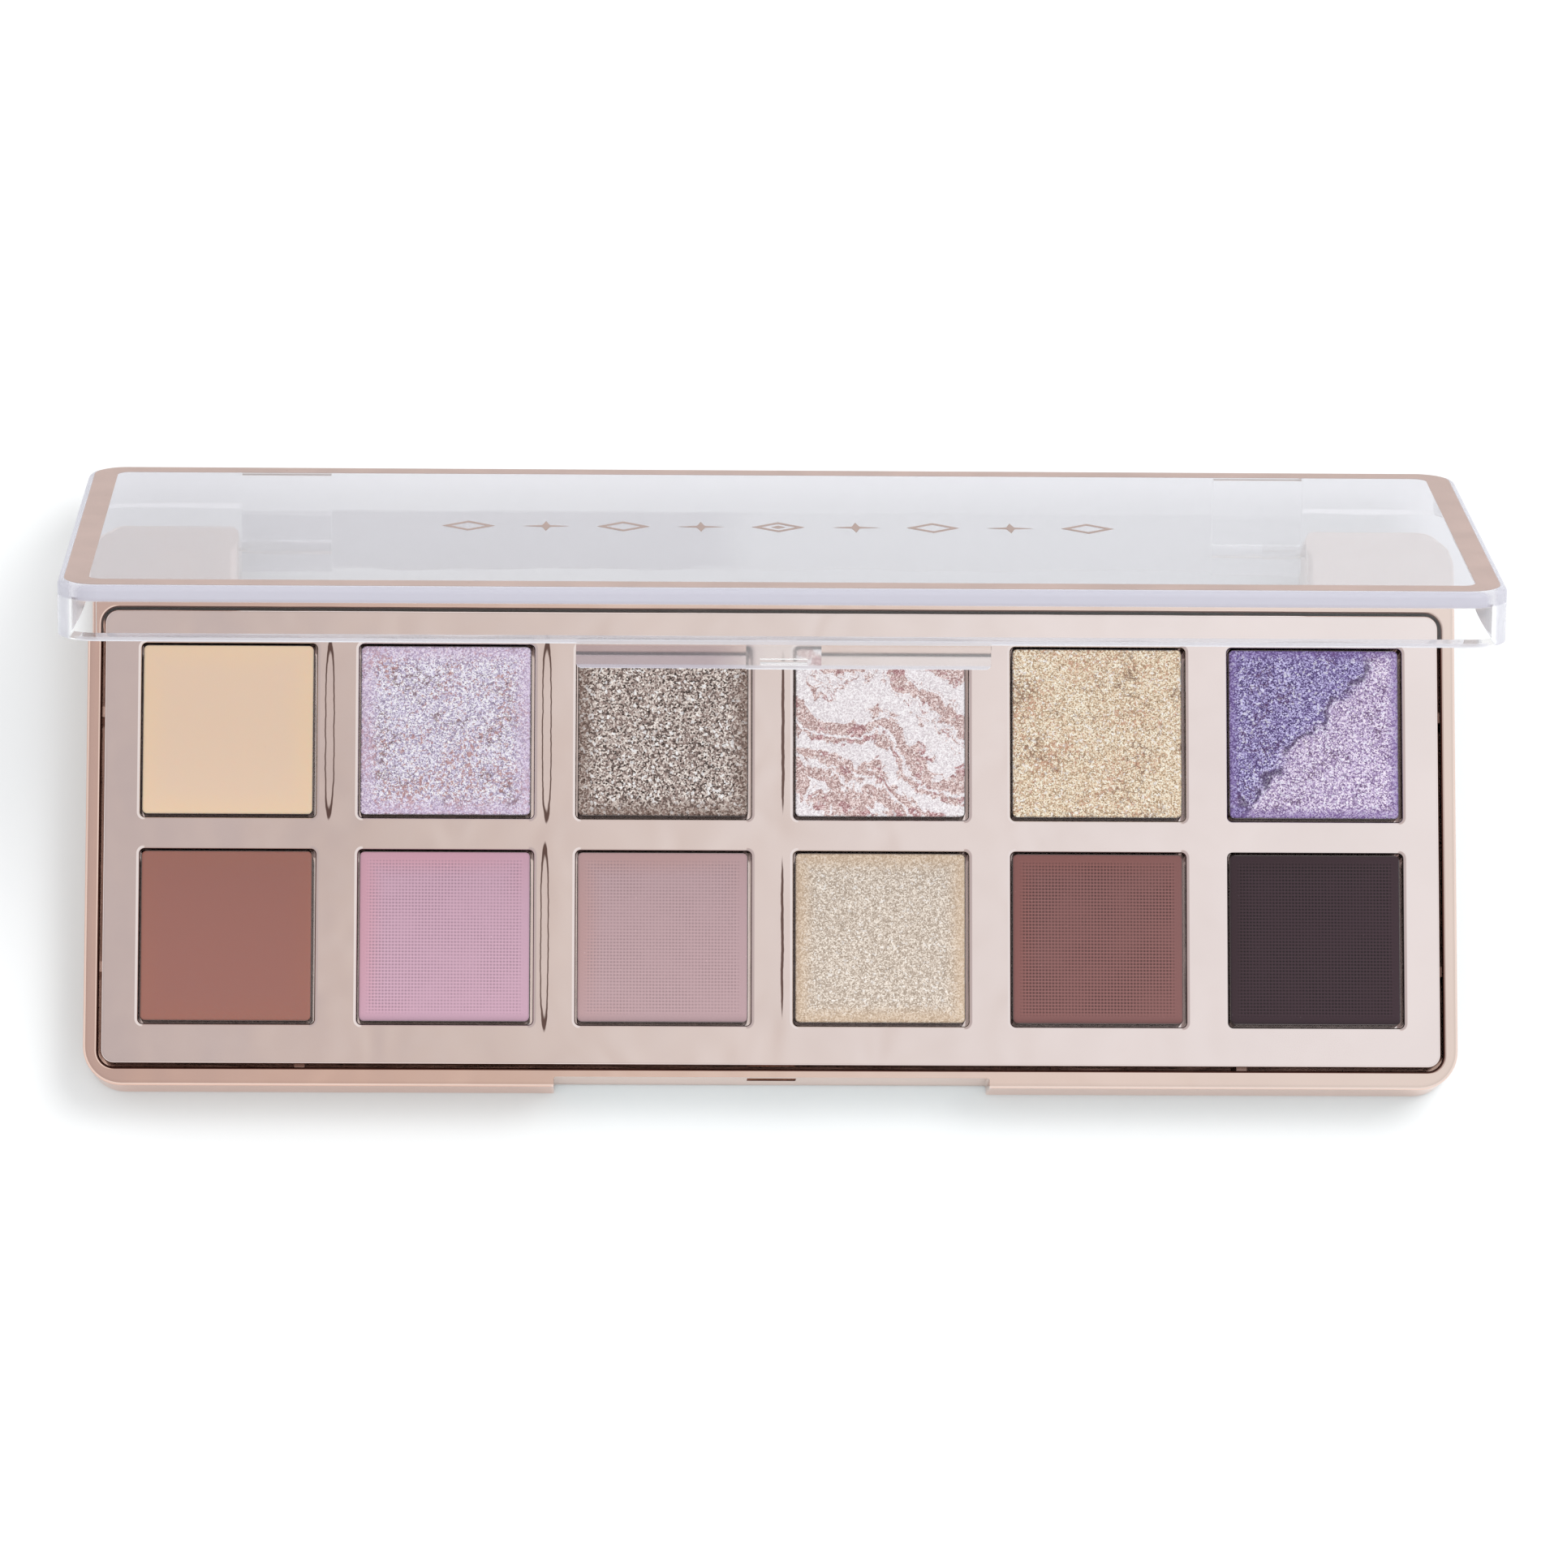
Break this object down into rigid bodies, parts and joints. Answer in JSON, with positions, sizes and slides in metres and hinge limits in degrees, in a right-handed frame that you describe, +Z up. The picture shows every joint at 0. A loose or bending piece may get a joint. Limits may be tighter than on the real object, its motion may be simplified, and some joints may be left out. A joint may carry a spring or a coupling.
{
  "type": "eyeshadow palette",
  "caption": "Slim rectangular eyeshadow palette: metallised tray, raised plate with rows of square metal pans of powder and cream, clear rear-hinged lid standing open with foil trim.",
  "frame": {"origin": "centre of the tray's underside, midway between its sides and between its front and rear edges", "axes": "+X along the long side, +Y towards the hinge, +Z up out of the pans"},
  "size_m": [0.16, 0.0728, 0.0677],
  "materials": {
    "metallised_plastic": "vacuum-metallised rose gold over moulded plastic",
    "clear_plastic": "clear, polished",
    "foil": "hot-stamped satin rose-gold foil",
    "pin_steel": "turned, straight knurl on one end",
    "pan_metal": "drawn tinplate",
    "glue": "hot-melt adhesive",
    "cream_beige": "satin",
    "glitter_lilac": "glitter",
    "glitter_taupe": "glitter",
    "marbled_rose": "glitter",
    "glitter_champagne": "glitter",
    "duochrome_violet": "glitter",
    "cream_brown": "satin",
    "matte_pink": "matte",
    "matte_mauve": "matte",
    "shimmer_ivory": "shimmer",
    "matte_brown": "matte",
    "matte_aubergine": "matte"
  },
  "bodies": {
    "tray": {"base_case": "metallised_plastic", "pan_carrier": "metallised_plastic", "pan_glue_pads": "glue", "pan_rear_1": "pan_metal", "pan_rear_2": "pan_metal", "pan_rear_3": "pan_metal", "pan_rear_4": "pan_metal", "pan_rear_5": "pan_metal", "pan_rear_6": "pan_metal", "pan_front_1": "pan_metal", "pan_front_2": "pan_metal", "pan_front_3": "pan_metal", "pan_front_4": "pan_metal", "pan_front_5": "pan_metal", "pan_front_6": "pan_metal", "shade_rear_1": "cream_beige", "shade_rear_2": "glitter_lilac", "shade_rear_3": "glitter_taupe", "shade_rear_4": "marbled_rose", "shade_rear_5": "glitter_champagne", "shade_rear_6": "duochrome_violet", "shade_front_1": "cream_brown", "shade_front_2": "matte_pink", "shade_front_3": "matte_mauve", "shade_front_4": "shimmer_ivory", "shade_front_5": "matte_brown", "shade_front_6": "matte_aubergine"},
    "lid": {"lid_shell": "clear_plastic", "lid_border_foil": "foil", "lid_motif_foil": "foil", "hinge_pin_left": "pin_steel", "hinge_pin_right": "pin_steel"}
  },
  "joints": [
    {"name": "lid_hinge", "type": "hinge", "parent": "tray", "child": "lid", "pos_m": [0, 0.0305, 0.00575], "axis": [-1, 0, 0], "range_deg": [-68.7, 41.3]}
  ]
}
